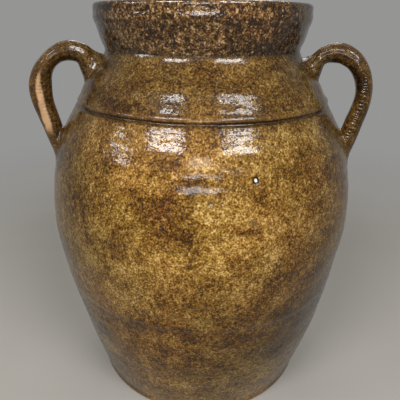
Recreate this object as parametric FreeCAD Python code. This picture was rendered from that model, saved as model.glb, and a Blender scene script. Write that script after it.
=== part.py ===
import FreeCAD, Part
import math
import os

# A big two-handled stoneware storage jar, in millimetres.
# It stands on Z = 0 with its axis on Z. Its front looks along -Y, and its two ear
# handles stand at the left and right of the front.
# It is made as a potter makes one: a lower and an upper thrown section luted at the
# belly seam, a collar luted on the neck, and two rolled clay coils on four clay pads.

# The main sizes
jar_height = 335.0
belly_radius = 134.5
foot_radius = 104.5
neck_radius = 80.0
rim_radius = 87.5
foot_band = 6.0

# The outline of the wall. The first number is a height, as a share of the jar's height.
# The second is how far out the wall is there, as a share of the way from the foot's
# radius, or above the belly from the neck's radius, to the belly's.
heel_place = (0.14925, 0.41667)
seam_place = (0.33433, 0.81667)
belly_place = (0.51343, 1.0)
chest_place = (0.64776, 0.87706)
shoulder_place = (0.71642, 0.72294)
groove_place = (0.7806, 0.49358)
roll_place = (0.83582, 0.31009)
brow_place = (0.87881, 0.0789)
neck_place = (0.9, 0.0)

# Clay thicknesses, and the rounded or bevelled corners
wall = 8.5
floor_thickness = 11.0
lip_thickness = 9.5
foot_bevel = 1.5
floor_fillet = 12.0
lip_round = 3.0

# The incised shoulder line, and the raised bead just above it
groove_round = 1.3
bead_round = 2.0
bead_lift = 3.2
bead_sink = 1.2

# The shallow waist under the rim's lip, and the flare that leads up to it
lip_band = 6.5
lip_step = 0.8
flare_rise = 10.5
flare_spread = 3.9

# The luted seams: a wedge-shaped ring on one section lies in a channel in the other
key_half_width = 1.9
key_depth = 2.2
slip_gap = 0.2

# Where the middles of the handles meet the wall: the upper root below the neck,
# and the lower root below the upper one. Both handles stand a little toward the front.
upper_root_fall = 15.5
lower_root_fall = 56.0
handle_turn = 14.0

# The middle line of a handle. Runs are counted outward and rises upward, for the stub,
# the arch, the bend and the widest place from the upper root, for the elbow from the
# lower one. The root and the tail end inside the wall.
stub_run = 3.1
stub_rise = 10.0
arch_run = 16.4
arch_rise = 14.9
bend_run = 33.9
bend_rise = 4.2
widest_run = 40.3
widest_fall = 16.4
elbow_run = 5.0
elbow_rise = 20.7
root_sink = 4.0
root_dip = 9.0
tail_sink = 4.0
tail_dip = 12.0

# The coils are squeezed by hand. Marks are shares of a coil's length, from the root over
# the arch and the side to the tail, with the thickness in the plane of the loop there.
# A squeezed coil is as much wider as it is thinner. Its mean size is that of a coil
# that is as wide as it is thick.
coil_marks = (0.15, 0.4, 0.52, 0.7, 1.0)
left_coil_thickness = (13.5, 12.5, 18.0, 16.5, 13.5)
right_coil_thickness = (12.5, 13.5, 13.5, 14.0, 15.5)
left_coil_mean = 17.0
right_coil_mean = 16.0

# The clay pads under the handle ends: half sizes up the wall, across it and out of it
upper_pad_rise = 10.0
upper_pad_spread = 15.0
lower_pad_rise = 13.0
lower_pad_spread = 12.0
pad_thickness = 3.4

# How finely a coil is drawn: sections along it, and points round each section
coil_sections = 16
oval_points = 12

Z_AXIS = FreeCAD.Vector(0, 0, 1)
ACROSS = FreeCAD.Vector(0, 1, 0)
ORIGIN = FreeCAD.Vector(0, 0, 0)



def station(place, end_radius):
    """The radius and height of a place on the wall between the belly and one end."""
    height_share, radius_share = place
    return end_radius + radius_share * (belly_radius - end_radius), height_share * jar_height


heel_radius, heel_height = station(heel_place, foot_radius)
seam_radius, seam_height = station(seam_place, foot_radius)
groove_radius, groove_height = station(groove_place, neck_radius)
_, neck_height = station(neck_place, neck_radius)
upper_root_height = neck_height - upper_root_fall
lower_root_height = upper_root_height - lower_root_fall

wall_stations = [
    (foot_radius, foot_band),
    (heel_radius, heel_height),
    (seam_radius, seam_height),
    station(belly_place, foot_radius),
    station(chest_place, neck_radius),
    station(shoulder_place, neck_radius),
    (groove_radius, groove_height),
    station(roll_place, neck_radius),
    station(brow_place, neck_radius),
    (neck_radius, neck_height),
]


def at(radius, height):
    """A point of the section, drawn in the XZ plane."""
    return FreeCAD.Vector(radius, 0, height)


def smooth_line(points):
    """A smooth curve through the points."""
    curve = Part.BSplineCurve()
    curve.interpolate(points)
    return curve


def span(curve, start, end):
    """The stretch of a curve between two of its points."""
    return curve.toShape(curve.parameter(start), curve.parameter(end))


def polyline(points):
    """Straight edges from point to point."""
    return [Part.makeLine(a, b) for a, b in zip(points[:-1], points[1:])]


def turned(edges):
    """The solid of revolution whose section these edges close."""
    face = Part.Face(Part.Wire(Part.sortEdges(edges)[0]))
    return face.revolve(ORIGIN, Z_AXIS, 360)


def ring(middle, thickness):
    """A round ring about the jar's axis, whose section has its middle at a point."""
    return Part.makeTorus(middle.x, thickness, at(0, middle.z), Z_AXIS)


def is_circle(edge, point):
    """Whether an edge is the circle that a point of the section turns into."""
    if not isinstance(edge.Curve, Part.Circle):
        return False
    same_height = abs(edge.Curve.Center.z - point.z) < 0.01
    return same_height and abs(edge.Curve.Radius - point.x) < 0.01


def outer_line(grow=0.0):
    """The outside of the wall from the foot band to the neck, moved out by grow."""
    return smooth_line([at(radius + grow, height) for radius, height in wall_stations])


def wall_frame(height):
    """The wall's outside point at a height, with its outward normal and its upward slope."""
    curve = outer_line()
    low = curve.FirstParameter
    high = curve.LastParameter
    for _ in range(50):
        middle = (low + high) / 2
        if curve.value(middle).z < height:
            low = middle
        else:
            high = middle
    slope = curve.tangent(low)[0]
    normal = FreeCAD.Vector(slope.z, 0, -slope.x)
    return curve.value(low), normal, slope


def inner_line():
    """The inside of the wall, one wall thickness in from the outside."""
    heel_slope = (heel_radius - foot_radius) / (heel_height - foot_band)
    floor_radius = foot_radius + heel_slope * (floor_thickness - foot_band) - wall
    points = [at(floor_radius, floor_thickness)]
    for radius, height in wall_stations[1:]:
        if height in (seam_height, neck_height):
            points.append(at(radius - wall, height))
        else:
            point, normal, _ = wall_frame(height)
            points.append(point - normal * wall)
    return smooth_line(points)


def key_points(outer_radius, height, clearance):
    """A luted ring seam from outside to inside, with its wedge made smaller by clearance."""
    middle = outer_radius - wall / 2
    half = key_half_width - clearance
    depth = key_depth - clearance
    return [
        at(outer_radius, height),
        at(middle + half, height),
        at(middle, height - depth),
        at(middle - half, height),
        at(outer_radius - wall, height),
    ]


def filled_jar(grow):
    """The jar up to the neck as one filled solid, moved out by grow."""
    foot = at(foot_radius + grow, foot_band)
    neck = at(neck_radius + grow, neck_height)
    edges = polyline([neck, at(0, neck_height), ORIGIN, at(foot_radius + grow, 0), foot])
    edges.append(span(outer_line(grow), foot, neck))
    return turned(edges)


def make_lower_body():
    """The thrown lower section: floor, foot and wall up to the belly seam."""
    inside = inner_line()
    foot = at(foot_radius, foot_band)
    seam = key_points(seam_radius, seam_height, 0.0)
    floor_edge = inside.value(inside.FirstParameter)
    base = [floor_edge, at(0, floor_thickness), ORIGIN, at(foot_radius - foot_bevel, 0)]
    edges = polyline(base + [at(foot_radius, foot_bevel), foot])
    edges += polyline(seam)
    edges.append(span(outer_line(), foot, seam[0]))
    edges.append(span(inside, floor_edge, seam[-1]))
    body = turned(edges)
    corner = [edge for edge in body.Edges if is_circle(edge, floor_edge)]
    return body.makeFillet(floor_fillet, corner)


def make_upper_body():
    """The thrown upper section, from the belly seam to the neck, with its shoulder line."""
    seam = key_points(seam_radius, seam_height, slip_gap)
    neck = key_points(neck_radius, neck_height, 0.0)
    edges = polyline(seam) + polyline(neck)
    edges.append(span(outer_line(), seam[0], neck[0]))
    edges.append(span(inner_line(), seam[-1], neck[-1]))
    body = turned(edges)
    point, normal, _ = wall_frame(groove_height + bead_lift)
    body = body.fuse(ring(point - normal * bead_sink, bead_round))
    return body.cut(ring(at(groove_radius, groove_height), groove_round))


def make_rim_collar():
    """The flared collar above the neck crease, with a rounded lip over a shallow waist."""
    base = key_points(neck_radius, neck_height, slip_gap)
    flare = at(neck_radius + flare_spread, neck_height + flare_rise)
    waist = at(rim_radius - lip_step, jar_height - lip_band)
    lip = at(rim_radius, jar_height - lip_band / 2)
    lip_top = at(rim_radius, jar_height)
    mouth = at(rim_radius - lip_thickness, jar_height)
    edges = polyline(base)
    edges.append(smooth_line([base[0], flare, waist, lip]).toShape())
    edges += polyline([lip, lip_top, mouth, base[-1]])
    collar = turned(edges)
    rims = [edge for edge in collar.Edges if is_circle(edge, lip_top) or is_circle(edge, mouth)]
    return collar.makeFillet(lip_round, rims)


def pad_blank(height, rise, spread, grow):
    """A flat ellipsoid on the wall: its short axis out of the wall, its rise up the slope."""
    point, normal, slope = wall_frame(height)
    scale = FreeCAD.Matrix()
    scale.scale(pad_thickness + grow, spread + grow, rise + grow)
    place = FreeCAD.Matrix(
        normal.x, ACROSS.x, slope.x, point.x,
        normal.y, ACROSS.y, slope.y, point.y,
        normal.z, ACROSS.z, slope.z, point.z,
        0, 0, 0, 1,
    )
    return Part.makeSphere(1.0).transformGeometry(scale).transformGeometry(place)


def upper_pad_blank(grow=0.0):
    """The pad under a handle's upper root, before it is trimmed to the wall."""
    return pad_blank(upper_root_height, upper_pad_rise, upper_pad_spread, grow)


def lower_pad_blank(grow=0.0):
    """The pad under a handle's tail, before it is trimmed to the wall."""
    return pad_blank(lower_root_height, lower_pad_rise, lower_pad_spread, grow)


def coil_line():
    """The middle of a coil: out of the shoulder, over the arch and down to the chest."""
    upper, _, _ = wall_frame(upper_root_height)
    lower, _, _ = wall_frame(lower_root_height)
    return smooth_line([
        upper - at(root_sink, root_dip),
        upper,
        upper + at(stub_run, stub_rise),
        upper + at(arch_run, arch_rise),
        upper + at(bend_run, bend_rise),
        upper + at(widest_run, -widest_fall),
        lower + at(elbow_run, elbow_rise),
        lower,
        lower - at(tail_sink, tail_dip),
    ])


def between_marks(share, values):
    """The value at a share of a coil's length, from its values at the marks."""
    if share <= coil_marks[0]:
        return values[0]
    for index in range(1, len(coil_marks)):
        if share <= coil_marks[index]:
            step = coil_marks[index] - coil_marks[index - 1]
            part = (share - coil_marks[index - 1]) / step
            return values[index - 1] + part * (values[index] - values[index - 1])
    return values[-1]


def oval(middle, long_way, short_way):
    """A closed oval about a point, from its two half axes."""
    points = []
    for step in range(oval_points):
        turn = 2 * math.pi * step / oval_points
        points.append(middle + long_way * math.cos(turn) + short_way * math.sin(turn))
    curve = Part.BSplineCurve()
    curve.interpolate(Points=points, PeriodicFlag=True)
    return Part.Wire(curve.toShape())


def make_handle(thicknesses, mean):
    """One rolled coil in the XZ plane, trimmed to its two pads and the wall."""
    curve = coil_line()
    length = curve.LastParameter - curve.FirstParameter
    sections = []
    for step in range(coil_sections + 1):
        share = step / coil_sections
        thickness = between_marks(share, thicknesses)
        parameter = curve.FirstParameter + share * length
        along = curve.tangent(parameter)[0]
        outward = FreeCAD.Vector(-along.z, 0, along.x)
        long_way = ACROSS * (mean * mean / thickness / 2)
        short_way = outward * (thickness / 2)
        sections.append(oval(curve.value(parameter), long_way, short_way))
    coil = Part.makeLoft(sections, True, False)
    for hollow in (filled_jar(slip_gap), upper_pad_blank(slip_gap), lower_pad_blank(slip_gap)):
        coil = coil.cut(hollow)
    return main_solid(coil)


def main_solid(shape):
    """The trimmed piece itself, without what the trim left inside the wall."""
    return max(shape.Solids, key=lambda solid: solid.Volume)


def to_right(shape):
    """A piece of the handle drawn in the XZ plane, turned to its place on the +X side."""
    placed = shape.copy()
    placed.rotate(ORIGIN, Z_AXIS, -handle_turn)
    return placed


def to_left(shape):
    """The same piece in its place on the -X side."""
    return to_right(shape).mirror(ORIGIN, FreeCAD.Vector(1, 0, 0))


def main():
    jar = filled_jar(slip_gap)
    upper_pad = main_solid(upper_pad_blank().cut(jar))
    lower_pad = main_solid(lower_pad_blank().cut(jar))
    pieces = {
        "lower_body": make_lower_body(),
        "upper_body": make_upper_body(),
        "rim_collar": make_rim_collar(),
        "left_handle": to_left(make_handle(left_coil_thickness, left_coil_mean)),
        "left_upper_pad": to_left(upper_pad),
        "left_lower_pad": to_left(lower_pad),
        "right_handle": to_right(make_handle(right_coil_thickness, right_coil_mean)),
        "right_upper_pad": to_right(upper_pad),
        "right_lower_pad": to_right(lower_pad),
    }
    os.makedirs("parts", exist_ok=True)
    for name, shape in pieces.items():
        shape.exportStep("parts/" + name + ".step")


main()
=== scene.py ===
import math

import bpy
import numpy as np
from mathutils import Matrix, Vector


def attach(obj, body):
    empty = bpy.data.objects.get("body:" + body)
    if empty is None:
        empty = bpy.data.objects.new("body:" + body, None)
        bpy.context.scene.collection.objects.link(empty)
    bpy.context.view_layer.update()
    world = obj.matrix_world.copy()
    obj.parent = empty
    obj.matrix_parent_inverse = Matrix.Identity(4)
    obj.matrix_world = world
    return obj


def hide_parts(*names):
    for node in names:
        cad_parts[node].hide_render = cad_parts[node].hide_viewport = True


# A glazed stoneware storage jar with two ear handles, dressed over its CAD frame.
# Shapes are worked out in millimetres, with the jar's axis on Z, and stored in metres.
# An angle on the jar is in degrees from its front toward +X.

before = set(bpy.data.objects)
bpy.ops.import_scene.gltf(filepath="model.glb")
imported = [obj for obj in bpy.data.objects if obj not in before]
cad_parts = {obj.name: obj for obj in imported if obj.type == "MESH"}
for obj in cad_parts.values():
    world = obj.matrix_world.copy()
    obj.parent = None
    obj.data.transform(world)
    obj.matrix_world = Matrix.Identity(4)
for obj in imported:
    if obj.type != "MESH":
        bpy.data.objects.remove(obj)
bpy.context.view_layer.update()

MM = 0.001
SIDES = {"left": -1.0, "right": 1.0}

# The jar's main heights and radii
JAR_HEIGHT = 335.0
NECK_HEIGHT = 301.5
GROOVE_HEIGHT = 261.5
BELLY_HEIGHT = 172.0
SEAM_HEIGHT = 112.0
FOOT_BAND = 6.0
RIM_RADIUS = 87.5
MOUTH_RADIUS = 78.0
NECK_RADIUS = 80.0
BELLY_RADIUS = 134.5
SEAM_RADIUS = 129.0
FOOT_RADIUS = 104.5

# The clay's thickness, and the rounded or bevelled corners
WALL_THICKNESS = 8.5
FLOOR_TOP = 11.0
FLOOR_FILLET = 12.0
FOOT_BEVEL = 1.5
LIP_ROUND = 3.0

# The outlines of the wall, the collar and the inside, as radius and height
INNER_NECK = (NECK_RADIUS - WALL_THICKNESS, NECK_HEIGHT)
INNER_SEAM = (SEAM_RADIUS - WALL_THICKNESS, SEAM_HEIGHT)
FLOOR_CORNER = (86.0, FLOOR_TOP + FLOOR_FILLET)
WALL = [
    (FOOT_RADIUS, FOOT_BAND), (117.0, 50.0), (SEAM_RADIUS, SEAM_HEIGHT),
    (BELLY_RADIUS, BELLY_HEIGHT), (127.8, 217.0), (119.4, 240.0), (106.9, GROOVE_HEIGHT),
    (96.9, 280.0), (84.3, 294.4), (NECK_RADIUS, NECK_HEIGHT),
]
COLLAR = [(NECK_RADIUS, NECK_HEIGHT), (83.9, 312.0), (86.7, 328.5), (RIM_RADIUS, 331.75)]
INSIDE = [
    INNER_NECK, (77.0, 290.0), (89.3, 276.0), (99.4, 257.0), (111.2, 236.5), (119.3, 214.5),
    (BELLY_RADIUS - WALL_THICKNESS, BELLY_HEIGHT), INNER_SEAM, (108.4, 51.7), (98.6, FLOOR_CORNER[1]),
]

# How finely the turned pieces are drawn: points round them, the distances between their rows,
# and the radius inside which the base and the floor are closed by a fan of faces
ROUND_STEPS = 600
ROWS = {"wall": 1.25, "edge": 0.6, "lip": 0.45, "line": 0.38, "inside": 2.6, "base": 6.0}
FAN_RADIUS = 2.0

# The stretches of the jar's section that make up each thrown piece
BODY_PARTS = {
    "lower_body": ("base", "low", "inner_low"),
    "upper_body": ("high", "inner_high"),
    "rim_collar": ("collar",),
}

# How far the wall is out of round, and how far the wall and the collar are held back, so that
# their relief stays inside the box of the solids
OVAL = 0.35
WALL_SINK = 0.60
COLLAR_SINK = 0.35

# Broad hollows and swells of the wall: angle, half width in degrees, lowest and highest place,
# softness of the ends, and how far out they stand
SWELLS = [
    (-90, 42, 42, 95, 9, -2.0),
    (90, 42, 118, 146, 8, -2.2),
    (-90, 40, 146, 174, 8, 1.3),
]

# The same at the shoulder's sides: angle, half width in degrees, height, half height, amount
SHOULDERS = [(-90, 35, 265, 9, -0.8), (90, 35, 265, 9, 0.2)]

# Level rolls and hollows beside the incised line, and on the collar: height, half height, amount
ROLLS = [
    (256.0, 11.0, 0.85), (279.0, 9.0, -0.36), (251.0, 8.0, 0.35), (276.0, 6.0, -0.25),
    (268.5, 5.0, 0.45),
]
COLLAR_ROLLS = [(328.2, 1.3, -0.12), (324.6, 1.6, 0.10), (324.5, 5.0, 1.35), (332.0, 4.0, -0.55)]

# The throwing ridges' distance from each other, the incised line's depth, how far its bead
# stands out and how high above the line it lies, and the depth of the crease under the collar
RIDGE_PITCH = 11.5
GROOVE_DEPTH = 1.25
BEAD_RISE = 0.90
BEAD_LIFT = 3.2
CREASE_DEPTH = 0.60

# Flaws in the glaze: angle, height, half size, depth, and the wall's radius where they are.
# The first is a burst bubble.
PIT_RADIUS = 130.0
BUBBLE = (16.3, 229.5, 2.0, 0.8)
PITS = [
    BUBBLE,
    (15.1, 202.6, 2.8, 0.6),
    (27.1, 182.9, 1.7, 0.6),
    (-17.7, 129.5, 1.9, 0.6),
    (2.4, 217.1, 1.6, 0.5),
]

# Where the dark mottle gathers: angle, height, half width in degrees, half height, amount
BLOTCH = [(-5, 226, 7, 8, 0.72), (-11, 211, 8.5, 16, 0.82), (-10, 195, 8.5, 12, 0.76)]
PATCHES = [
    (13, 178, 5, 16, 0.70), (4, 160, 9, 10, 0.50), (15, 203, 6, 3, 0.70),
    (30, 150, 14, 20, 0.60), (5, 118, 22, 14, 0.45), (-22, 106, 10, 8, 0.70),
    (40, 178, 12, 12, 0.55), (-45, 205, 10, 22, 0.62), (-8, 288, 26, 7, 0.75),
    (22, 272, 18, 8, 0.62), (-34, 268, 12, 9, 0.70), (48, 225, 10, 12, 0.55),
    (150, 190, 30, 34, 0.70), (-120, 140, 26, 30, 0.70), (95, 250, 24, 20, 0.60),
    (-165, 230, 24, 22, 0.60),
]

# Lighter and darker areas of the front, partly the glaze's own tone and partly painted light and shade:
# angle, half width in degrees, lowest and highest place, softness of the ends, which way the ends
# waver, and amount
TONE_AND_PAINTED_LIGHT_AREAS = [
    (-2, 28, 205, 262, 8, 1, 0.24),
    # The darker area low at the right is painted shade.
    (38, 26, 60, 205, 12, -1, -0.33),
    (-45, 22, 262, 300, 6, 0, -0.20),
]

# The handles: how far forward they stand, and their middle line in its own upright plane, as
# distance from the axis and height
HANDLE_TURN = 14.0
HANDLE_LINE = [
    (88.2, 277.0), (92.2, 286.0), (95.3, 296.0), (108.6, 300.9), (126.1, 290.2),
    (132.5, 269.6), (128.9, 250.7), (123.9, 230.0), (119.9, 218.0),
]
COIL_STEPS = 420
COIL_ROUND = 72

# The coils' thickness at marks along them. The marks are spread out to something like the
# coil's size for the curve through them. The mean is that of a coil as wide as it is thick.
COIL_MARKS = [0.0, 0.14, 0.26, 0.4, 0.53, 0.7, 1.0]
MARK_SPREAD = 60.0
COIL_THICKNESS = {
    "left": [14.0, 16.0, 15.5, 13.5, 18.0, 16.5, 13.5],
    "right": [11.5, 11.5, 15.0, 14.0, 13.5, 14.0, 15.5],
}
COIL_MEAN = {"left": 17.0, "right": 16.0}

# The coils' relief: the seeds of its noise, the count of lengthwise ridges, how far the outside
# is pressed in, and the ripples' height, their count, and where round the coil they lie in radians
COIL_SEED = {"left": 40, "right": 60}
COIL_RIDGES = 11
COIL_PRESS = {"left": 1.06, "right": 0.5}
COIL_RIPPLE = {"left": 0.09, "right": 0.28}
RIPPLES = 48
RIPPLE_LANE = 4.55

# The bare scar on the left coil: its middle and its half width round the coil in radians, at
# shares of the coil's length
SCAR_MIDDLE = ([0.45, 0.6, 0.85], [4.9, 4.68, 5.12])
SCAR_WIDTH = ([0.46, 0.54, 0.65, 0.8], [0.10, 0.22, 0.29, 0.42])

# The smears of clay at a coil's ends: how much more they climb on top of the coil, how much
# less they spread under it, how full they are on top, how far the wall leans in as it rises,
# and what the end adds to the seed of their noise
SMEARS = {
    "upper": {"climb": 7.0, "under": 1.0, "fill": 0.75, "lean": 0.85, "seed": 0},
    "lower": {"climb": 1.5, "under": 0.0, "fill": 0.0, "lean": 0.3, "seed": 5},
}
SMEAR_SEED = {"left": 70, "right": 80}
SMEAR_STEPS = 18
SMEAR_SINK = 0.35
SMEAR_TONE = (0.15, 0.0, 0.0, 0.48)


def run_along(points):
    """How far along a line of points each of them is."""
    return np.r_[0.0, np.cumsum(np.linalg.norm(np.diff(points, axis=0), axis=1))]


def spline(points, where=None, steps=400):
    """Points along the natural cubic through some points, at shares of its chord length."""
    points = np.array(points, float)
    chord = run_along(points)
    gap = np.diff(chord)
    count = len(points)
    matrix = np.eye(count)
    right = np.zeros_like(points)
    slope = np.diff(points, axis=0) / gap[:, None]
    for i in range(1, count - 1):
        matrix[i, i - 1:i + 2] = gap[i - 1], 2 * (gap[i - 1] + gap[i]), gap[i]
        right[i] = 6 * (slope[i] - slope[i - 1])
    bend = np.linalg.solve(matrix, right)
    shares = np.linspace(0, 1, steps) if where is None else np.asarray(where)
    at = shares * chord[-1]
    i = np.clip(np.searchsorted(chord, at, side="right") - 1, 0, count - 2)
    low = (at - chord[i])[:, None]
    high = (chord[i + 1] - at)[:, None]
    span = gap[i][:, None]
    curve = bend[i] * high ** 3 / (6 * span) + bend[i + 1] * low ** 3 / (6 * span)
    curve += (points[i] / span - bend[i] * span / 6) * high
    curve += (points[i + 1] / span - bend[i + 1] * span / 6) * low
    return curve


def arc(middle, radius, start, end, steps):
    """Points of an arc in the section, from one angle to another in degrees."""
    turn = np.radians(np.linspace(start, end, steps))
    return np.c_[middle[0] + radius * np.cos(turn), middle[1] + radius * np.sin(turn)]


def respaced(line, spacing):
    """A line with new points: evenly spaced, or as far apart as spacing(height) says."""
    line = np.asarray(line, float)
    length = run_along(line)
    at = 0.0
    marks = []
    while at < length[-1]:
        marks.append(at)
        at += spacing(np.interp(at, length, line[:, 1])) if callable(spacing) else spacing
    marks.append(length[-1])
    if len(marks) > 2 and marks[-1] - marks[-2] < 0.25 * (marks[-2] - marks[-3]):
        del marks[-2]
    return np.c_[np.interp(marks, length, line[:, 0]), np.interp(marks, length, line[:, 1])]


def noise(across, up, seed, wrap=None):
    """Smooth noise from -1 to 1 on a plane, one bump per unit. It may close after wrap units."""
    table = np.random.default_rng(seed).uniform(-1, 1, (256, 256))
    column = np.floor(across).astype(int)
    row = np.floor(up).astype(int)
    x = across - column
    y = up - row
    x = x * x * (3 - 2 * x)
    y = y * y * (3 - 2 * y)
    after = column + 1
    if wrap:
        column = column % wrap
        after = after % wrap
    column, after = column % 256, after % 256
    low = table[column, row % 256] * (1 - x) + table[after, row % 256] * x
    high = table[column, (row + 1) % 256] * (1 - x) + table[after, (row + 1) % 256] * x
    return low * (1 - y) + high * y


def round_noise(turns, bumps, seed, up=0.0):
    """Smooth noise with so many bumps in one full turn, after which it closes."""
    return noise(turns * bumps, up, seed, bumps)


def hump(distance, width):
    """A soft hump, 1 in its middle."""
    return np.exp(-(distance / width) ** 2)


def plateau(distance, width):
    """A hump with a flatter top and steeper sides, 1 in its middle."""
    return np.exp(-(distance / width) ** 4)


def below(value, edge, soft):
    """1 where a value is below an edge and 0 where it is above, softly."""
    return 1 / (1 + np.exp((value - edge) / soft))


def band(height, low, high, soft):
    """1 between two heights, with soft ends."""
    return below(low, height, soft) * below(height, high, soft)


def rolls(height, table):
    """Level rolls and hollows, each given by its height, half height and amount."""
    return sum(amount * hump(height - level, tall) for level, tall, amount in table)


def turn_between(a, b):
    """The signed difference of two angles in degrees."""
    return (a - b + 180.0) % 360.0 - 180.0


def turn_distance(a, b):
    """The signed difference of two angles in radians."""
    return (a - b + np.pi) % (2 * np.pi) - np.pi


def angle_of(points):
    """The angle of points about the axis, from the front toward +X, in degrees."""
    return np.degrees(np.arctan2(points[..., 0], -points[..., 1]))


def around(radius, angle, height):
    """Points at a distance from the axis, an angle on the jar and a height."""
    turn = np.radians(angle)
    places = np.broadcast_arrays(radius * np.sin(turn), -radius * np.cos(turn), height)
    return np.stack(places, axis=-1)


def wall_distance(angle, height, at, level, squash=1.0):
    """How far places on the wall are from one place on it, with the heights squashed."""
    across = np.radians(turn_between(angle, at)) * PIT_RADIUS
    return np.hypot(across, (height - level) * squash)


def throwing_ridges(turns, height):
    """The spiral of soft ridges from the potter's fingers, fainter toward the foot."""
    spiral = height / RIDGE_PITCH + turns + 0.25 * round_noise(turns, 7, 3, height / 40)
    amount = 0.10 + 0.09 * round_noise(turns, 6, 4, height / 30)
    return np.sin(2 * np.pi * spiral) * amount * (0.35 + 0.65 * band(height, 70, 300, 12))


def belly_ridge(angle, height):
    """The uneven diagonal ridge across the belly's front, with a hollow under it."""
    slant = 201 + 0.5 * turn_between(angle, 10) + 4 * round_noise(angle / 360.0, 14, 8)
    ridge = 0.32 * hump(height - slant, 4.5) - 0.25 * hump(height - slant + 9, 6)
    return ridge * hump(turn_between(angle, 10), 40)


def belly_seam(turns, height):
    """The luted belly seam: a soft step out to the upper body."""
    seam = SEAM_HEIGHT + 1.5 * round_noise(turns, 9, 9)
    return 0.28 * np.tanh((height - seam) / 2.5) * hump(height - seam, 16)


def wall_relief(angle, height):
    """How far the outside stands off its round outline: swells, ridges, dents and pits."""
    turns = angle / 360.0
    wall = band(height, 10, 296, 4)
    out = OVAL * np.sin(np.radians(2 * angle + 60)) * band(height, 20, 290, 14) - WALL_SINK
    for at, wide, low, high, soft, amount in SWELLS:
        out += amount * hump(turn_between(angle, at), wide) * band(height, low, high, soft)
    for at, wide, level, tall, amount in SHOULDERS:
        out += amount * hump(turn_between(angle, at), wide) * hump(height - level, tall)
    out += throwing_ridges(turns, height) * wall
    out += rolls(height, ROLLS) * (0.15 + 0.85 * hump(turn_between(angle, 0), 42))
    out -= CREASE_DEPTH * hump(height - NECK_HEIGHT, 4.0)
    out += 0.20 * noise(turns * 22 + height / 55, height / 17, 5) * wall
    out += 0.16 * round_noise(turns, 36, 6, height / 12) * wall
    out += 0.07 * round_noise(turns, 90, 7, height / 6.5) * wall
    out += belly_ridge(angle, height) + belly_seam(turns, height)
    for at, level, size, depth in PITS:
        away = wall_distance(angle, height, at, level, 0.9) / size
        out -= depth * plateau(away, 1.0)
        out += 0.25 * depth * hump(away - 1.45, 0.35)
    return out


def above_line(angle, height):
    """How far a place is above the incised line, which wanders a little up and down."""
    turns = angle / 360.0
    sway = 0.7 * round_noise(turns, 8, 10) + 0.25 * round_noise(turns, 31, 11)
    return height - GROOVE_HEIGHT - sway


def wall_line(angle, height):
    """The incised shoulder line, the bead above it and a faint second line, as relief."""
    turns = angle / 360.0
    place = above_line(angle, height)
    depth = GROOVE_DEPTH * (1.0 + 0.3 * round_noise(turns, 12, 12))
    faint = np.clip(0.5 + round_noise(turns, 7, 13), 0, 1)
    out = BEAD_RISE * hump(place - BEAD_LIFT, 2.2) - depth * plateau(place, 1.15)
    return out - 0.12 * faint * hump(place + 5.5, 0.9)


def outer_relief(angle, height):
    """All the relief of the wall's outside."""
    return wall_relief(angle, height) + wall_line(angle, height)


WALL_CURVE = spline(WALL, steps=2000)


def wall_radius(angle, height):
    """The finished outside radius of the wall, with all its relief."""
    return np.interp(height, WALL_CURVE[:, 1], WALL_CURVE[:, 0]) + outer_relief(angle, height)


def on_wall(points, lift):
    """Points moved in or out level onto the wall's finished skin, and lifted off it by so much."""
    angle = angle_of(points)
    return around(wall_radius(angle, points[..., 2]) + lift, angle, points[..., 2])


def collar_relief(angle, height):
    """The collar's unevenness, its fuller band under the lip, and the rib's shallow grooves."""
    turns = angle / 360.0
    up = height - NECK_HEIGHT
    grooves = up / 6.3 + turns + 0.2 * round_noise(turns, 6, 23, up / 9)
    out = 0.30 * round_noise(turns, 5, 20) - COLLAR_SINK
    out += 0.14 * round_noise(turns, 18, 21, up / 9) + 0.08 * round_noise(turns, 60, 22, up / 4)
    out += 0.06 * np.sin(2 * np.pi * grooves) - CREASE_DEPTH * hump(up, 3.0)
    out += rolls(height, COLLAR_ROLLS)
    return out * np.clip(up / 2.5, 0.15, 1)


def pooled_glaze(angle, height):
    """Where dark glaze pools: in the incised line, the neck's crease and the pits."""
    dark = 0.75 * plateau(above_line(angle, height), 1.5) + 0.7 * hump(height - NECK_HEIGHT, 1.6)
    for at, level, size, _ in PITS:
        away = wall_distance(angle, height, at, level) / size
        dark = np.maximum(dark, 0.60 * plateau(away, 1.25))
    return dark


def thin_glaze(angle, height):
    """Where the glaze is thin over rusty clay: on the bead, the lip and the foot's edge."""
    turns = angle / 360.0
    worn = 0.5 + 0.5 * round_noise(turns, 26, 33)
    thin = 0.35 * hump(above_line(angle, height) - 3.0, 1.3)
    thin += 0.45 * worn * hump(height - (JAR_HEIGHT - 1.2), 1.3)
    edge = 4.0 + 2.5 * round_noise(turns, 10, 30) + 1.2 * round_noise(turns, 40, 31)
    return np.maximum(thin, 0.85 * below(height, edge, 0.8))


def dense_mottle(angle, height, wobble):
    """How densely the dark mottle lies: low at the right, in the patches and in clouds."""
    turns = angle / 360.0
    lower = band(height + 0.9 * turn_between(angle, 20), 70 + wobble, 150 + wobble, 9)
    dense = 0.52 * lower * hump(turn_between(angle, 22), 42)
    for patches, loose in ((BLOTCH, 0.45), (PATCHES, 1.0)):
        for at, level, wide, tall, amount in patches:
            across = (turn_between(angle, at) + 0.4 * loose * wobble) / wide
            far = np.hypot(across, (height - level + loose * wobble) / tall)
            dense = np.maximum(dense, amount * np.exp(-far ** 3))
    clouds = 0.5 + 0.5 * round_noise(turns, 9, 35, height / 38)
    clouds += 0.25 * round_noise(turns, 25, 36, height / 15)
    return np.maximum(dense, 0.55 * clouds)


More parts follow.
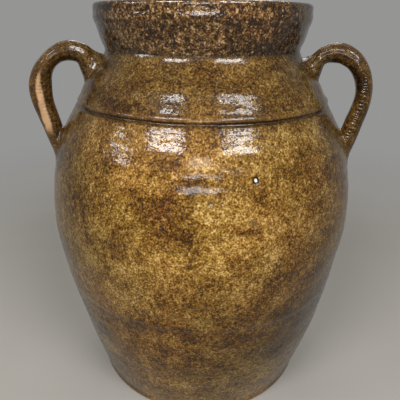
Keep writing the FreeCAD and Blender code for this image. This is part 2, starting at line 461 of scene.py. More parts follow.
def tone_and_painted_shade(angle, height, wobble):
    """The glaze's overall tone, partly its own and partly painted light and shade: lightest on the
    front's chest, with painted shade at the sides, less at the back and low at the right, and darker
    from the shoulder up.
    """
    light = 0.72 + 0.28 * band(height + wobble, 120, 250, 16)
    for at, wide, low, high, soft, waver, amount in TONE_AND_PAINTED_LIGHT_AREAS:
        ends = band(height + waver * wobble, low, high, soft)
        light += amount * hump(turn_between(angle, at), wide) * ends
    # Painted shade: the sides, and less so the back, are darker than the front.
    front = plateau(turn_between(angle, 2), 45.0)
    back = plateau(turn_between(angle, 180), 72.0)
    light *= 0.38 + 0.55 * front + 0.26 * back
    # Painted shade low at the right.
    light -= 0.16 * band(height + wobble, 60, 130, 10) * hump(turn_between(angle, 42), 24)
    light += 0.16 * hump(turn_between(angle, 9) + 0.4 * wobble, 17) * hump(height - 182 + wobble, 26)
    light += 0.07 * round_noise(angle / 360.0, 11, 37, height / 30)
    return light * (0.81 - 0.13 * band(height, 266, 345, 5))


def jar_tones(angle, height):
    """Glaze amounts: pooled dark, worn thin and densely mottled, and the overall tone with its painted
    shade.
    """
    turns = angle / 360.0
    wobble = 9 * round_noise(turns, 24, 32, height / 14) + 4 * round_noise(turns, 70, 34, height / 5)
    return np.stack([
        np.clip(pooled_glaze(angle, height), 0, 1),
        np.clip(thin_glaze(angle, height), 0, 1),
        np.clip(dense_mottle(angle, height, wobble), 0, 1),
        # The overall tone, with painted shade.
        np.clip(tone_and_painted_shade(angle, height, wobble), 0, 1.2),
    ], axis=-1)


def mesh_piece(name, points, faces, tones, normals=None):
    """A smooth mesh object, from points in millimetres and faces of four corners."""
    mesh = bpy.data.meshes.new(name)
    points = np.asarray(points, float).reshape(-1, 3) * MM
    mesh.vertices.add(len(points))
    mesh.vertices.foreach_set("co", points.ravel())
    mesh.loops.add(faces.size)
    mesh.loops.foreach_set("vertex_index", faces.ravel())
    mesh.polygons.add(len(faces))
    mesh.polygons.foreach_set("loop_start", np.arange(0, faces.size, 4))
    mesh.update(calc_edges=True)
    mesh.validate()
    mesh.shade_smooth()
    if normals is not None:
        mesh.normals_split_custom_set_from_vertices(normals.reshape(-1, 3).tolist())
    layer = mesh.color_attributes.new("tone", "FLOAT_COLOR", "POINT")
    layer.data.foreach_set("color", tones.ravel())
    piece = bpy.data.objects.new(name, mesh)
    bpy.context.collection.objects.link(piece)
    return piece


def grid_faces(rows, columns, flip=False):
    """Faces between neighbouring rows of a grid, closed round its columns."""
    row, column = np.meshgrid(np.arange(rows - 1), np.arange(columns), indexing="ij")
    after = (column + 1) % columns
    corners = [row * columns + column, row * columns + after,
               (row + 1) * columns + after, (row + 1) * columns + column]
    if flip:
        corners.reverse()
    return np.stack(corners, axis=-1).reshape(-1, 4)


def grid_normals(grid):
    """Unit normals of a grid of points whose columns run round, along round x up."""
    up = np.gradient(grid, axis=0)
    along = np.roll(grid, -1, axis=1) - np.roll(grid, 1, axis=1)
    normal = np.cross(along, up)
    size = np.linalg.norm(normal, axis=-1, keepdims=True)
    return normal / np.maximum(size, 1e-12)


def wall_rows(height):
    """The distance between rows: finer at the incised line, the lip, the crease and the foot."""
    if abs(height - GROOVE_HEIGHT) < 7.5:
        return ROWS["line"]
    if height >= JAR_HEIGHT - 12:
        return ROWS["lip"]
    if height > NECK_HEIGHT - 3 or height < FOOT_BAND + 1:
        return ROWS["edge"]
    return ROWS["wall"]


def body_sections():
    """The stretches of the jar's section in turn, from the base over the lip to the floor."""
    base = [(FAN_RADIUS, 0.0), (FOOT_RADIUS - FOOT_BEVEL, 0.0)]
    bevel = [(FOOT_RADIUS - FOOT_BEVEL, 0.0), (FOOT_RADIUS, FOOT_BEVEL), (FOOT_RADIUS, FOOT_BAND)]
    low = WALL_CURVE[WALL_CURVE[:, 1] < SEAM_HEIGHT]
    high = WALL_CURVE[WALL_CURVE[:, 1] > SEAM_HEIGHT]
    seam = [(SEAM_RADIUS, SEAM_HEIGHT)]
    lip_height = JAR_HEIGHT - LIP_ROUND
    collar = np.vstack([
        spline(COLLAR, steps=200),
        arc((RIM_RADIUS - LIP_ROUND, lip_height), LIP_ROUND, 0, 90, 12),
        arc((MOUTH_RADIUS + LIP_ROUND, lip_height), LIP_ROUND, 90, 180, 12),
        [INNER_NECK],
    ])
    inner = spline(INSIDE, steps=600)
    inner_high = inner[inner[:, 1] > SEAM_HEIGHT]
    inner_low = inner[inner[:, 1] < SEAM_HEIGHT]
    floor = np.vstack([arc(FLOOR_CORNER, FLOOR_FILLET, 0, -90, 10), [(FAN_RADIUS, FLOOR_TOP)]])
    return {
        "base": np.vstack([respaced(base, ROWS["base"]), respaced(bevel, wall_rows)[1:]]),
        "low": respaced(np.vstack([low, seam]), wall_rows),
        "high": respaced(np.vstack([seam, high]), wall_rows),
        "collar": respaced(collar, wall_rows),
        "inner_high": respaced(np.vstack([inner_high, [INNER_SEAM]]), ROWS["inside"]),
        "inner_low": respaced(np.vstack([[INNER_SEAM], inner_low, floor]), ROWS["inside"]),
    }


def section_relief(name, radius, height, angle):
    """How far one stretch of the section stands off its round shape, at angles round it."""
    if name == "base":
        return wall_relief(angle, np.maximum(height, FOOT_BAND)) * np.clip(radius / FOOT_RADIUS, 0, 1)
    if name == "low":
        return outer_relief(angle, height)
    if name == "high":
        settle = np.clip((NECK_HEIGHT - height) / 4.0, 0, 1)
        crease = collar_relief(angle, NECK_HEIGHT)
        return outer_relief(angle, height) * settle + crease * (1 - settle)
    if name == "collar":
        relief = collar_relief(angle, height)
        mouth = (radius < MOUTH_RADIUS + 1.5) & (height < JAR_HEIGHT - 2)
        return np.where(mouth, relief * 0.3, relief)
    rings = np.sin(2 * np.pi * (height / 14.0 + angle / 360.0))
    return 0.45 * rings * band(height, 16, 290, 5)


def close_middles(points, faces, tones, normals):
    """The lower body's arrays, with fans of faces that close its base and its floor."""
    base_ring = np.arange(ROUND_STEPS)
    floor_ring = base_ring + (len(points) - 1) * ROUND_STEPS
    points = np.vstack([points.reshape(-1, 3), [[0, 0, 0], [0, 0, FLOOR_TOP]]])
    tones = np.vstack([tones.reshape(-1, 4), [[0, 1, 0, 0.5], [0, 0, 0, 0.5]]])
    normals = np.vstack([normals.reshape(-1, 3), [[0, 0, -1], [0, 0, 1]]])
    base_middle = len(points) - 2
    floor_middle = len(points) - 1
    fans = []
    for i in range(0, ROUND_STEPS, 2):
        j = i + 1
        k = (i + 2) % ROUND_STEPS
        fans.append((base_middle, base_ring[k], base_ring[j], base_ring[i]))
        fans.append((floor_middle, floor_ring[i], floor_ring[j], floor_ring[k]))
    return points, np.vstack([faces, fans]), tones, normals


def make_body():
    """The thrown pieces: lower body, upper body and collar, cut from one turned skin."""
    angles = np.arange(ROUND_STEPS) * 360.0 / ROUND_STEPS
    grids = {}
    all_tones = {}
    for name, section in body_sections().items():
        radius = section[:, 0][:, None]
        height = section[:, 1][:, None]
        angle = angles[None, :] + 0 * height
        grids[name] = around(radius + section_relief(name, radius, height, angle), angle, height)
        all_tones[name] = jar_tones(angle, height)
    skin_normals = grid_normals(np.vstack(list(grids.values())))
    ends = np.cumsum([len(grid) for grid in grids.values()])
    all_normals = dict(zip(grids, np.split(skin_normals, ends[:-1])))
    pieces = {}
    for node, names in BODY_PARTS.items():
        points = np.vstack([grids[name] for name in names])
        tones = np.vstack([all_tones[name] for name in names])
        normals = np.vstack([all_normals[name] for name in names])
        faces = grid_faces(len(points), ROUND_STEPS)
        if node == "lower_body":
            points, faces, tones, normals = close_middles(points, faces, tones, normals)
        pieces[node] = mesh_piece(node + "_glazed", points, faces, tones, normals)
    return pieces


def coil_relief(side, share, angle):
    """How far a coil's skin stands off its plain oval: lumps, ridges and ripples."""
    seed = COIL_SEED[side]
    turns = angle / (2 * np.pi)
    top = np.clip(np.cos(angle), 0, 1)
    lump = 0.30 * round_noise(turns, 5, seed, share * 9)
    lump += 0.16 * round_noise(turns, 11, seed + 1, share * 24)
    ridges = 0.28 * np.sin(COIL_RIDGES * angle + 2.0 * round_noise(turns, 3, seed + 2, share * 5))
    strength = np.clip(0.55 + 0.8 * round_noise(turns, 4, seed + 3, share * 6), 0, 1)
    strength = strength * (1 + 0.9 * (share < 0.5) * hump(share - 0.2, 0.13))
    push = lump + ridges * strength * (0.35 + 0.65 * top) - 0.25
    push -= COIL_PRESS[side] * hump(share - 0.56, 0.13) * top
    lane = turn_distance(angle, RIPPLE_LANE) + 0.25 * noise(share * 30, 0.0, seed + 4)
    waves = share * RIPPLES + 0.8 * round_noise(turns, 3, seed + 5, share * 16)
    ripple = COIL_RIPPLE[side] * np.sin(2 * np.pi * waves)
    return push + ripple * hump(lane, 0.36) * band(share, 0.42, 0.95, 0.03)


def coil_grid(side):
    """The skin of one rolled coil in its own plane: distance, across and height."""
    shares = np.linspace(0, 1, COIL_STEPS)
    middle = spline(HANDLE_LINE, shares)
    along = np.gradient(middle, axis=0)
    along /= np.linalg.norm(along, axis=1)[:, None]
    marks = spline(np.c_[np.array(COIL_MARKS) * MARK_SPREAD, COIL_THICKNESS[side]])
    thickness = np.interp(shares * MARK_SPREAD, marks[:, 0], marks[:, 1])
    width = COIL_MEAN[side] ** 2 / thickness
    turn = np.linspace(0, 2 * np.pi, COIL_ROUND, endpoint=False)
    share, angle = np.meshgrid(shares, turn, indexing="ij")
    push = coil_relief(side, share, angle)
    across = ((width / 2)[:, None] + push) * np.sin(angle)
    outward = ((thickness / 2)[:, None] + push) * np.cos(angle)
    distance = middle[:, 0][:, None] - along[:, 1][:, None] * outward
    height = middle[:, 1][:, None] + along[:, 0][:, None] * outward
    return np.stack([distance, across, height], axis=-1), share, angle


def placed(grid, side):
    """Points from a handle's own plane put at its place beside the jar."""
    turn = math.radians(HANDLE_TURN)
    x = grid[..., 0] * math.cos(turn) + grid[..., 1] * math.sin(turn)
    y = -grid[..., 0] * math.sin(turn) + grid[..., 1] * math.cos(turn)
    return np.stack([x * SIDES[side], y, grid[..., 2]], axis=-1)


def coil_tones(side, share, angle):
    """Glaze amounts on a coil. The left coil has a bare scar where glaze was knocked off."""
    dark = np.clip(0.25 * noise(angle, share * 20, 50) + 0.1, 0, 1)
    thin = 0.35 * np.clip(np.cos(COIL_RIDGES * angle), 0, 1) * np.clip(np.cos(angle), 0, 1)
    bare = np.zeros_like(share)
    if side == "left":
        ragged = 0.16 * noise(share * 40, angle * 3, 51) + 0.07 * noise(share * 110, angle * 6, 52)
        lane = turn_distance(angle, np.interp(share, *SCAR_MIDDLE))
        lane = np.abs(lane / np.interp(share, *SCAR_WIDTH) + ragged)
        ends = band(share, 0.47, 0.81, 0.012)
        bare = ends * below(lane, 1, 0.12)
        dark = np.maximum(dark, 0.9 * ends * hump(lane - 1.35, 0.28))
    light = 0.50 + 0.10 * noise(angle, share * 12, 53)
    return np.stack([dark, thin, bare, light], axis=-1)


def smear_rings(grid, outside, form, seed):
    """A smear's foot on the wall, its bend and its top on the coil, and which way is outward."""
    columns = grid.shape[1]
    turns = np.arange(columns) / columns
    top = np.clip(np.cos(2 * np.pi * turns), 0, 1)
    under = np.clip(-np.cos(2 * np.pi * turns), 0, 1)
    climb = 5.5 + 1.8 * round_noise(turns, 6, seed) + form["climb"] * top
    spread = 4.5 + 2.0 * round_noise(turns, 7, seed + 1) + 5.0 * top - form["under"] * under
    corners = np.zeros((columns, 3))
    tops = np.zeros((columns, 3))
    for column in range(columns):
        line = grid[:, column]
        gap = outside[:, column]
        first = np.argmax(gap > 0)
        share = -gap[first - 1] / (gap[first] - gap[first - 1])
        corners[column] = line[first - 1] + share * (line[first] - line[first - 1])
        run = run_along(line[first:])
        tops[column] = [np.interp(climb[column], run, line[first:, k]) for k in range(3)]
    middle = corners.mean(axis=0)
    radial = middle * [1, 1, 0] / np.linalg.norm(middle[:2])
    slope = np.array([0, 0, 1]) - form["lean"] * radial
    slope /= np.linalg.norm(slope)
    tangent = np.cross(slope, radial)
    tangent /= np.linalg.norm(tangent)
    away = corners - middle
    flat = (away @ slope)[:, None] * slope + (away @ tangent)[:, None] * tangent
    flat /= np.linalg.norm(flat, axis=1)[:, None]
    feet = on_wall(corners + flat * spread[:, None], -SMEAR_SINK)
    bends = on_wall(corners + flat * 0.6, 0.5)
    bends += form["fill"] * top[:, None] * ((feet + tops) / 2 - bends)
    return feet, bends, tops, radial


def make_smear(side, end, grid, outside):
    """The fillet of clay smeared from a coil's end onto the wall all round it."""
    if end == "lower":
        grid = grid[::-1]
        outside = outside[::-1]
    seed = SMEAR_SEED[side] + SMEARS[end]["seed"]
    feet, bends, tops, radial = smear_rings(grid, outside, SMEARS[end], seed)
    columns = grid.shape[1]
    turns = np.arange(columns) / columns
    layers = []
    for share in np.linspace(0, 1, SMEAR_STEPS):
        layer = (1 - share) ** 2 * feet + 2 * share * (1 - share) * bends + share ** 2 * tops
        if share < 0.45:
            held = on_wall(layer, 1.1 * share - SMEAR_SINK)
            inside = np.hypot(layer[:, 0], layer[:, 1]) < np.hypot(held[:, 0], held[:, 1])
            layer = np.where(inside[:, None], held, layer)
        lump = 0.25 * round_noise(turns, 9, seed + 2, share * 4) * math.sin(math.pi * share)
        layers.append(layer + lump[:, None] * radial)
    faces = grid_faces(SMEAR_STEPS, columns, flip=(side == "left") == (end == "upper"))
    tones = np.tile(SMEAR_TONE, (SMEAR_STEPS, columns, 1))
    return mesh_piece(side + "_" + end + "_smear", np.array(layers), faces, tones)


def make_handle(side):
    """One coil, and the two smears of clay that join it to the wall."""
    grid, share, angle = coil_grid(side)
    grid = placed(grid, side)
    faces = grid_faces(*share.shape, flip=side == "right")
    handle = mesh_piece(side + "_handle_coil", grid, faces, coil_tones(side, share, angle))
    outside = np.hypot(grid[..., 0], grid[..., 1]) - wall_radius(angle_of(grid), grid[..., 2])
    pads = {end: make_smear(side, end, grid, outside) for end in SMEARS}
    return handle, pads


def node_tree(owner):
    """The cleared node tree of a material or world, and a short way to add nodes to it."""
    tree = owner.node_tree
    tree.nodes.clear()

    def add(kind, inputs=(), **settings):
        node = tree.nodes.new(kind)
        for key, value in settings.items():
            setattr(node, key, value)
        for key, value in dict(inputs).items():
            if isinstance(value, bpy.types.NodeSocket):
                tree.links.new(value, node.inputs[key])
            else:
                node.inputs[key].default_value = value
        return node

    return tree, add


def ramp(add, factor, stops):
    """A colour ramp from (place, colour) stops."""
    node = add("ShaderNodeValToRGB", {"Fac": factor})
    elements = node.color_ramp.elements
    while len(elements) < len(stops):
        elements.new(0.5)
    for element, (place, colour) in zip(elements, stops):
        element.position = place
        element.color = (*colour, 1.0)
    return node.outputs["Color"]


def mix(add, factor, low, high, mode="MIX"):
    """A colour between two colours."""
    node = add("ShaderNodeMix", data_type="RGBA", blend_type=mode)
    tree = node.id_data
    for key, value in ((0, factor), (6, low), (7, high)):
        if isinstance(value, bpy.types.NodeSocket):
            tree.links.new(value, node.inputs[key])
        else:
            node.inputs[key].default_value = value if key == 0 else (*value, 1.0)
    return node.outputs[2]


def maths(add, operation, a, b=0.0, c=0.0):
    """One step of arithmetic."""
    return add("ShaderNodeMath", {0: a, 1: b, 2: c}, operation=operation).outputs[0]


def between(add, value, low, high):
    """0 at low and 1 at high, smoothly."""
    node = add("ShaderNodeMapRange", {"Value": value, "From Min": low, "From Max": high},
               interpolation_type="SMOOTHSTEP")
    return node.outputs["Result"]


# The glazes' colours, from their dark spots to their light flecks
WALL_TONES = [
    (0.24, (0.030, 0.011, 0.001)), (0.40, (0.105, 0.044, 0.004)), (0.53, (0.205, 0.100, 0.013)),
    (0.67, (0.330, 0.188, 0.036)), (0.84, (0.600, 0.400, 0.140)),
]
COLLAR_TONES = [
    (0.26, (0.026, 0.010, 0.001)), (0.41, (0.110, 0.047, 0.006)), (0.54, (0.235, 0.115, 0.022)),
    (0.68, (0.360, 0.200, 0.062)), (0.86, (0.780, 0.520, 0.260)),
]
HANDLE_TONES = [
    (0.26, (0.025, 0.010, 0.001)), (0.42, (0.090, 0.040, 0.006)), (0.56, (0.180, 0.090, 0.016)),
    (0.70, (0.310, 0.180, 0.045)), (0.86, (0.600, 0.400, 0.180)),
]

# Other colours: rusty clay under thin glaze, pooled glaze, the collar's black patches, the tints
# of plain and of dense mottle, bare clay, a burst bubble's edge, its pale floor with a painted glint,
# and the wall's flecks
RUST = ((0.22, 0.095, 0.025), (0.42, 0.23, 0.08))
POOLED = (0.018, 0.010, 0.004)
HANDLE_POOLED = (0.022, 0.012, 0.005)
COLLAR_PATCH = (0.022, 0.012, 0.007)
PLAIN = (1.0, 1.0, 1.0)
PURPLE = (1.0, 0.92, 1.5)
BARE_CLAY = ((0.62, 0.34, 0.15), (0.95, 0.60, 0.33))
BUBBLE_EDGE = (0.010, 0.005, 0.002)
BUBBLE_CLAY_AND_GLINT = (0.85, 0.78, 0.66)
WALL_FLECK = (0.75, 0.60, 0.40)

# The collar's layers of flecks: cells to the metre, size and share of the cells, shift of the
# cells, amount and colour
COLLAR_FLECKS = [
    (260.0, 0.26, 0.10, 0.31, 0.85, (0.95, 0.56, 0.27)),
    (420.0, 0.30, 0.12, 0.83, 0.80, (0.85, 0.60, 0.38)),
    (165.0, 0.21, 0.10, 1.27, 0.85, (0.98, 0.57, 0.28)),
]

# The glaze's fine relief in metres: slow swell, ripple and pinholes
SWELL_HEIGHT = 0.00050
RIPPLE_HEIGHT = 0.00017
PINHOLE_DEPTH = 0.00026


class Glaze:
    """A glossy, mottled, speckled stoneware glaze over the tones of its mesh."""

    def __init__(self, name):
        self.material = bpy.data.materials.new(name)
        self.material.use_nodes = True
        _, self.add = node_tree(self.material)
        self.place = self.add("ShaderNodeTexCoord").outputs["Object"]
        tone = self.add("ShaderNodeVertexColor", layer_name="tone")
        split = self.add("ShaderNodeSeparateColor", {"Color": tone.outputs["Color"]})
        self.pooled, self.thin, self.third = split.outputs
        # The alpha holds the overall tone, with painted shade on the wall.
        self.light = tone.outputs["Alpha"]

    def moved(self, shift):
        """The place on the object, moved by a shift in metres."""
        mapping = self.add("ShaderNodeMapping", {"Vector": self.place, "Location": shift})
        return mapping.outputs["Vector"]

    def cloud(self, scale, detail=2.0, rough=0.5, shift=0.0):
        """Soft noise of so many bumps to the metre."""
        node = self.add("ShaderNodeTexNoise", {"Vector": self.moved((shift, shift, shift)),
                                               "Scale": scale, "Detail": detail, "Roughness": rough})
        return node.outputs["Fac"]

    def specks(self, scale, size, share, shift):
        """Small round spots in some of the cells of a grid of so many cells to the metre."""
        vector = self.moved((shift, shift * 2.3, shift * 0.7))
        cells = self.add("ShaderNodeTexVoronoi", {"Vector": vector, "Scale": scale})
        near = between(self.add, cells.outputs["Distance"], size, size * 0.45)
        chosen = self.add("ShaderNodeSeparateColor", {"Color": cells.outputs["Color"]}).outputs[0]
        return self.times(near, maths(self.add, "LESS_THAN", chosen, share))

    def times(self, value, factor):
        """A value times a factor."""
        return maths(self.add, "MULTIPLY", value, factor)

    def plus(self, value, factor, other):
        """A value times a factor, added to another."""
        return maths(self.add, "MULTIPLY_ADD", value, factor, other)

    def over(self, colour, amount, on_top):
        """A colour laid over another by an amount."""
        return mix(self.add, amount, colour, on_top)

    def tinted(self, colour, tint):
        """A colour multiplied by another."""
        return mix(self.add, 1.0, colour, tint, "MULTIPLY")

    def mottle(self, tones, density, grain=1.0, clumps=0.60):
        """Grain, clumps and soft patches, coloured from dark spots to light flecks."""
        value = self.plus(self.cloud(780.0, 2.0, 0.6), grain, 0.5 - 0.5 * grain)
        clump = self.cloud(300.0, 2.0, 0.5, 0.6)
        patch = self.cloud(55.0, 3.0, 0.55, 0.4)
        for cloud, amount in ((clump, clumps), (patch, 0.60)):
            value = self.plus(cloud, amount, maths(self.add, "SUBTRACT", value, amount / 2))
        value = self.plus(density, -0.34, maths(self.add, "ADD", value, 0.135))
        hue = between(self.add, self.cloud(16.0, 3.0, 0.6, 0.2), 0.36, 0.64)
        tint = mix(self.add, hue, (1.02, 0.94, 0.95), (0.94, 0.96, 0.98))
        return self.tinted(ramp(self.add, value, tones), tint)

    def with_pools(self, colour, amount, pool):
        """The colour, with dark glaze where it pools."""
        return self.over(colour, self.times(self.pooled, amount), pool)

    def with_rust(self, colour, amount):
        """The colour, with rusty clay where the glaze is thin."""
        rust = mix(self.add, self.cloud(500.0, 3.0), *RUST)
        return self.over(colour, self.times(self.thin, amount), rust)

    def with_bubble(self, colour, bubble):
        """The colour with a burst bubble of the glaze in it, its pale middle partly a painted glint,
        and how deep the glaze is there.
        """
        angle, height, size, _ = bubble
        radius = wall_radius(np.array(angle), np.array(height))
        size *= 0.88 * MM
        place = (around(radius, angle, height) * MM).tolist()
        away = self.add("ShaderNodeVectorMath", {0: self.place, 1: place}, operation="DISTANCE")
        away = maths(self.add, "SUBTRACT", away.outputs["Value"], size * 0.4)
        away = self.plus(self.cloud(500.0), size * 0.8, away)
        ring = between(self.add, away, size * 1.7, size * 1.3)
        middle = between(self.add, away, size * 0.75, size * 0.45)
        hollow = between(self.add, away, size * 1.2, size * 0.5)
        colour = self.over(colour, self.times(ring, 0.95), BUBBLE_EDGE)
        # The bubble's pale middle is partly a painted glint.
        return self.over(colour, middle, BUBBLE_CLAY_AND_GLINT), self.times(hollow, -0.35 * size)

    def finish(self, colour, bare=0.0, dent=0.0, coat=0.62, coat_ior=1.4, coat_rough=0.05, rise=1.0):
        """The overall tone with its painted shade, the gloss, the fine unevenness and the pinholes."""
        # The colour is darkened by the painted shade in the tone's alpha.
        shade = self.add("ShaderNodeCombineColor", {0: self.light, 1: self.light, 2: self.light})
        colour = self.tinted(colour, shade.outputs["Color"])
        swell = self.times(self.cloud(95.0), SWELL_HEIGHT)
        fine = self.plus(self.cloud(430.0, 2.0, 0.55), RIPPLE_HEIGHT, swell)
        height = self.plus(self.specks(460.0, 0.42, 0.30, 2.1), -PINHOLE_DEPTH, fine)
        height = maths(self.add, "ADD", height, dent)
        bump = self.add("ShaderNodeBump", {"Height": height, "Strength": 0.8, "Distance": rise})
        rough = between(self.add, self.cloud(260.0, 3.0, 0.6, 0.9), 0.35, 0.75)
        rough = maths(self.add, "MAXIMUM", self.plus(rough, 0.15, 0.33), self.times(bare, 0.75))
        shader = self.add("ShaderNodeBsdfPrincipled", {"Base Color": colour, "Roughness": rough,
                                                       "Normal": bump.outputs["Normal"],
                                                       "Coat Normal": bump.outputs["Normal"]})
        shader.inputs["IOR"].default_value = 1.4
        shader.inputs["Specular IOR Level"].default_value = 0.12
        shader.inputs["Coat Weight"].default_value = coat
        shader.inputs["Coat Roughness"].default_value = coat_rough
        shader.inputs["Coat IOR"].default_value = coat_ior
        self.add("ShaderNodeOutputMaterial", {"Surface": shader.outputs["BSDF"]})
        return self.material


def wall_glaze():
    """The olive-amber glaze of the body, purple-brown where it is densely mottled."""
    glaze = Glaze("wall_glaze")
    colour = glaze.mottle(WALL_TONES, glaze.third, 1.2)
    densest = between(glaze.add, glaze.third, 0.60, 0.95)
    colour = glaze.tinted(colour, mix(glaze.add, densest, PLAIN, PURPLE))
    colour = glaze.over(colour, glaze.times(glaze.specks(120.0, 0.075, 0.16, 0.31), 0.8), WALL_FLECK)
    colour = glaze.with_rust(glaze.with_pools(colour, 0.88, POOLED), 0.8)
    colour, dent = glaze.with_bubble(colour, BUBBLE)
    return glaze.finish(colour, dent=dent)


def collar_glaze():
    """The darker glaze of the collar, with orange flecks and black patches."""
    glaze = Glaze("collar_glaze")
    density = glaze.plus(glaze.cloud(45.0, 2.0, 0.5, 0.7), 0.9, 0.12)
    colour = glaze.mottle(COLLAR_TONES, density, 1.6, 1.3)
    for scale, size, share, shift, amount, fleck in COLLAR_FLECKS:
        colour = glaze.over(colour, glaze.times(glaze.specks(scale, size, share, shift), amount), fleck)
    patch = between(glaze.add, glaze.cloud(55.0, 3.0, 0.6, 0.5), 0.56, 0.70)
    colour = glaze.over(colour, glaze.times(patch, 0.60), COLLAR_PATCH)
    colour = glaze.with_rust(glaze.with_pools(colour, 0.88, POOLED), 0.8)
    return glaze.finish(colour, coat=0.8, coat_ior=1.52, coat_rough=0.08, rise=1.6)


def handle_glaze():
    """The glaze of the coils, with bare tan clay where the tone says so."""
    glaze = Glaze("handle_glaze")
    colour = glaze.mottle(HANDLE_TONES, 0.5)
    colour = glaze.with_pools(glaze.with_rust(colour, 0.5), 0.8, HANDLE_POOLED)
    clay = mix(glaze.add, glaze.cloud(260.0, 4.0, 0.65), *BARE_CLAY)
    return glaze.finish(glaze.over(colour, glaze.third, clay), bare=glaze.third)


# The floor: its half width and where it begins and ends to fade, in metres, and its colour
FLOOR_HALF = 1.25
FLOOR_FADE = (0.30, 0.95)
FLOOR_COLOUR = (0.25, 0.238, 0.215, 1.0)


def floor_material():
    """A plain pale floor, which gives way to the plain surrounding further out."""
    material = bpy.data.materials.new("pale_floor")
    material.use_nodes = True
    tree, add = node_tree(material)
    place = add("ShaderNodeTexCoord").outputs["Object"]
    away = add("ShaderNodeVectorMath", {0: place}, operation="LENGTH").outputs["Value"]
    shader = add("ShaderNodeBsdfPrincipled", {"Base Color": FLOOR_COLOUR, "Roughness": 0.9})
    shader.inputs["Specular IOR Level"].default_value = 0.2
    clear = add("ShaderNodeBsdfTransparent").outputs["BSDF"]
    fade = add("ShaderNodeMixShader", {"Fac": between(add, away, *FLOOR_FADE)})
    tree.links.new(shader.outputs["BSDF"], fade.inputs[1])
    tree.links.new(clear, fade.inputs[2])
    add("ShaderNodeOutputMaterial", {"Surface": fade.outputs["Shader"]})
    return material


def make_floor():
    """A wide flat floor at the jar's foot."""
    half = FLOOR_HALF
    mesh = bpy.data.meshes.new("floor")
    mesh.from_pydata([(-half, -half, 0), (half, -half, 0), (half, half, 0), (-half, half, 0)], [],
                     [(0, 1, 2, 3)])
    floor = bpy.data.objects.new("floor", mesh)
    bpy.context.collection.objects.link(floor)
    mesh.materials.append(floor_material())


# The lamps: four level ones high in front at the left and right, two that face the jar's
# front, one at the left and one behind. Each has three of its corners in metres, with the
# first between the other two, and a strength.
LAMPS = {
    "lamp_left": ([(-0.36, -1.08, 1.45), (-1.08, -0.84, 1.45), (-0.47, -1.40, 1.45)], 36.0),
    "lamp_right": ([(0.38, -1.12, 1.45), (1.12, -0.87, 1.45), (0.52, -1.53, 1.45)], 32.0),
    "lamp_left_back": ([(-0.42, -0.90, 1.45), (-0.74, -0.76, 1.45), (-0.46, -0.98, 1.45)], 40.0),
    "lamp_right_back": ([(0.36, -0.82, 1.45), (0.94, -0.60, 1.45), (0.39, -0.90, 1.45)], 40.0),
    "lamp_middle": ([(-0.33, -1.85, 1.34), (0.20, -1.85, 1.34), (-0.33, -1.90, 1.12)], 9.0),
    "lamp_low": ([(-0.60, -2.0, 1.06), (0.50, -2.0, 1.06), (-0.60, -2.0, 0.82)], 16.0),
    "lamp_side": ([(-1.66, -0.34, 1.10), (-1.48, -0.82, 1.10), (-1.66, -0.34, 0.94)], 24.0),
    "lamp_behind": ([(-0.7, 1.5, 1.9), (0.7, 1.5, 1.9), (-0.7, 1.9, 1.2)], 4.0),
}
LAMPS_FACE = Vector((0, 0, 0.2))

# The surrounding's colour, and how strong it is where it is seen and where it only lights
SURROUNDING = (1.0, 1.0, 0.99, 1.0)
SEEN_STRENGTH = 0.30
LIGHT_STRENGTH = 0.13


def make_lamp(name, corners, strength):
    """A rectangular soft lamp that faces the jar, from three of its corners."""
    first, second, third = [Vector(corner) for corner in corners]
    across = second - first
    down = third - first
    middle = first + across / 2 + down / 2
    data = bpy.data.lights.new(name, "AREA")
    data.shape = "RECTANGLE"
    data.size = across.length
    data.size_y = down.length
    data.energy = strength * data.size * data.size_y * math.pi
    x_axis = across.normalized()
    z_axis = x_axis.cross(-down.normalized()).normalized()
    if z_axis.dot(middle - LAMPS_FACE) < 0:
        x_axis = -x_axis
        z_axis = -z_axis
    y_axis = z_axis.cross(x_axis)
    place = Matrix((x_axis, y_axis, z_axis)).transposed().to_4x4()
    place.translation = middle
    lamp = bpy.data.objects.new(name, data)
    lamp.matrix_world = place
    bpy.context.collection.objects.link(lamp)


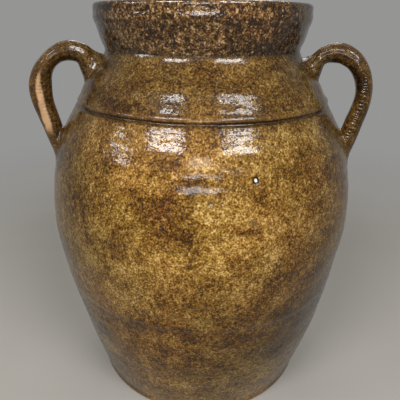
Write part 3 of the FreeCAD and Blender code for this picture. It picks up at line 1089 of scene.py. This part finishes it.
def make_surrounding():
    """A plain surrounding, paler where the camera or a reflection sees it."""
    world = bpy.data.worlds.new("surrounding")
    bpy.context.scene.world = world
    world.use_nodes = True
    _, add = node_tree(world)
    path = add("ShaderNodeLightPath").outputs
    shown = maths(add, "MAXIMUM", path["Is Camera Ray"], path["Is Glossy Ray"])
    shown = maths(add, "MAXIMUM", shown, path["Is Transmission Ray"])
    strength = maths(add, "MULTIPLY_ADD", shown, SEEN_STRENGTH - LIGHT_STRENGTH, LIGHT_STRENGTH)
    glow = add("ShaderNodeBackground", {"Color": SURROUNDING, "Strength": strength})
    add("ShaderNodeOutputWorld", {"Surface": glow.outputs["Background"]})


# The camera: its place in millimetres, how far it looks down and how far it is rolled, in
# degrees, and its sensor and lens, which are alike in a view as wide as it is far
CAMERA_PLACE = (-0.93, -357.4, 321.8)
CAMERA_DOWN = 23.94
CAMERA_ROLL = 0.52
CAMERA_SENSOR = 36.0
CAMERA_LENS = 36.0


def make_camera():
    """The photograph's viewpoint: close, a little below the rim, looking down."""
    data = bpy.data.cameras.new("camera")
    data.sensor_width = CAMERA_SENSOR
    data.lens = CAMERA_LENS
    data.clip_start = 0.01
    data.clip_end = 50.0
    camera = bpy.data.objects.new("camera", data)
    down = math.radians(CAMERA_DOWN)
    roll = math.radians(CAMERA_ROLL)
    ahead = Vector((0, math.cos(down), -math.sin(down)))
    level = Vector((1, 0, 0))
    top = Vector((0, math.sin(down), math.cos(down)))
    right = level * math.cos(roll) + top * math.sin(roll)
    up = top * math.cos(roll) - level * math.sin(roll)
    place = Matrix((right, up, -ahead)).transposed().to_4x4()
    place.translation = Vector(CAMERA_PLACE) * MM
    camera.matrix_world = place
    bpy.context.collection.objects.link(camera)
    bpy.context.scene.camera = camera


def dress(piece, material, node):
    """Give a piece its material, and let it stand for its CAD node."""
    piece.data.materials.append(material)
    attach(piece, "root")
    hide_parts(node)


def main():
    """Set the stage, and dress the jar."""
    make_camera()
    make_floor()
    for name, (corners, strength) in LAMPS.items():
        make_lamp(name, corners, strength)
    make_surrounding()
    bpy.context.scene.view_settings.view_transform = "Standard"
    on_body = wall_glaze()
    on_collar = collar_glaze()
    on_handles = handle_glaze()
    for node, piece in make_body().items():
        dress(piece, on_collar if node == "rim_collar" else on_body, node)
    for side in SIDES:
        handle, pads = make_handle(side)
        dress(handle, on_handles, side + "_handle")
        for end, pad in pads.items():
            dress(pad, on_handles, side + "_" + end + "_pad")


main()
